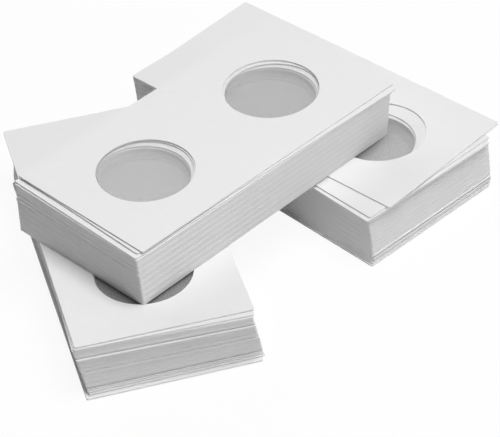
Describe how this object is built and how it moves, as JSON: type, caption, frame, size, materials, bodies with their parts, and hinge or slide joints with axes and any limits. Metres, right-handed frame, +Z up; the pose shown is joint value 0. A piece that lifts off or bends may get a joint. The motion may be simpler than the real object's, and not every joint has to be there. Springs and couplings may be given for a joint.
{
  "type": "coin holder flips",
  "caption": "Loose stacks of unfolded cardboard coin flips: white strips with round film windows that fold shut along a crease to hold a coin.",
  "frame": {"origin": "middle of the footprint, at table level", "axes": "+Z up; +X along the top stack, from its left end to its right end; +Y away from the viewer"},
  "size_m": [0.1526, 0.1154, 0.0389],
  "materials": {
    "board": "white coated board, matte",
    "film": "clear polyester film, glossy"
  },
  "bodies": {
    "left_stack": {"left_bottom_flip_board": "board", "left_bottom_flip_film": "film", "left_run_boards": "board", "left_run_film": "film"},
    "right_stack": {"right_bottom_flip_board": "board", "right_bottom_flip_film": "film", "right_run_boards": "board", "right_run_film": "film"},
    "top_stack": {"top_bottom_flip_board": "board", "top_bottom_flip_film": "film", "top_run_boards": "board", "top_run_film": "film"},
    "left_third_flip": {"left_third_flip_board": "board", "left_third_flip_film": "film"},
    "left_second_flip": {"left_second_flip_board": "board", "left_second_flip_film": "film"},
    "left_first_flip": {"left_first_flip_board": "board", "left_first_flip_film": "film"},
    "right_third_flip": {"right_third_flip_board": "board", "right_third_flip_film": "film"},
    "right_second_flip": {"right_second_flip_board": "board", "right_second_flip_film": "film"},
    "right_first_flip": {"right_first_flip_board": "board", "right_first_flip_film": "film"},
    "top_third_flip": {"top_third_flip_board": "board", "top_third_flip_film": "film"},
    "top_second_flip": {"top_second_flip_board": "board", "top_second_flip_film": "film"},
    "top_first_flip": {"top_first_flip_right_leaf": "board", "top_first_flip_right_film": "film"},
    "top_first_flip_folding_leaf": {"top_first_flip_left_leaf": "board", "top_first_flip_left_film": "film"}
  },
  "joints": [
    {"name": "right_stack_slide", "type": "slide", "parent": "left_stack", "child": "right_stack", "axis": [1, 0, 0], "range_m": [0, 0.06]},
    {"name": "left_third_flip_draw", "type": "slide", "parent": "left_stack", "child": "left_third_flip", "axis": [-0.5318, -0.8469, 0], "range_m": [0, 0.1]},
    {"name": "left_second_flip_draw", "type": "slide", "parent": "left_third_flip", "child": "left_second_flip", "axis": [-0.521, -0.8536, 0], "range_m": [0, 0.1]},
    {"name": "left_first_flip_draw", "type": "slide", "parent": "left_second_flip", "child": "left_first_flip", "axis": [-0.5015, -0.8652, 0], "range_m": [0, 0.1]},
    {"name": "right_third_flip_draw", "type": "slide", "parent": "right_stack", "child": "right_third_flip", "axis": [0.0175, -0.9998, 0], "range_m": [0, 0.1]},
    {"name": "right_second_flip_draw", "type": "slide", "parent": "right_third_flip", "child": "right_second_flip", "axis": [0.0175, -0.9998, 0], "range_m": [0, 0.1]},
    {"name": "right_first_flip_draw", "type": "slide", "parent": "right_second_flip", "child": "right_first_flip", "axis": [0.0506, -0.9987, 0], "range_m": [0, 0.1]},
    {"name": "top_stack_lift", "type": "slide", "parent": "left_stack", "child": "top_stack", "axis": [0, 0, 1], "range_m": [0, 0.06]},
    {"name": "top_third_flip_lift", "type": "slide", "parent": "top_stack", "child": "top_third_flip", "axis": [0, 0, 1], "range_m": [0, 0.03]},
    {"name": "top_second_flip_lift", "type": "slide", "parent": "top_third_flip", "child": "top_second_flip", "axis": [0, 0, 1], "range_m": [0, 0.03]},
    {"name": "top_first_flip_lift", "type": "slide", "parent": "top_second_flip", "child": "top_first_flip", "axis": [0, 0, 1], "range_m": [0, 0.165]},
    {"name": "top_first_flip_fold", "type": "hinge", "parent": "top_first_flip", "child": "top_first_flip_folding_leaf", "pos_m": [0.00087, -0.0072, 0.03835], "axis": [0.0044, -1, 0], "range_deg": [0, 178]}
  ],
  "couplings": [
    {"joint": "top_first_flip_fold", "follows": "top_first_flip_lift", "rad_per_m": 18.828}
  ]
}
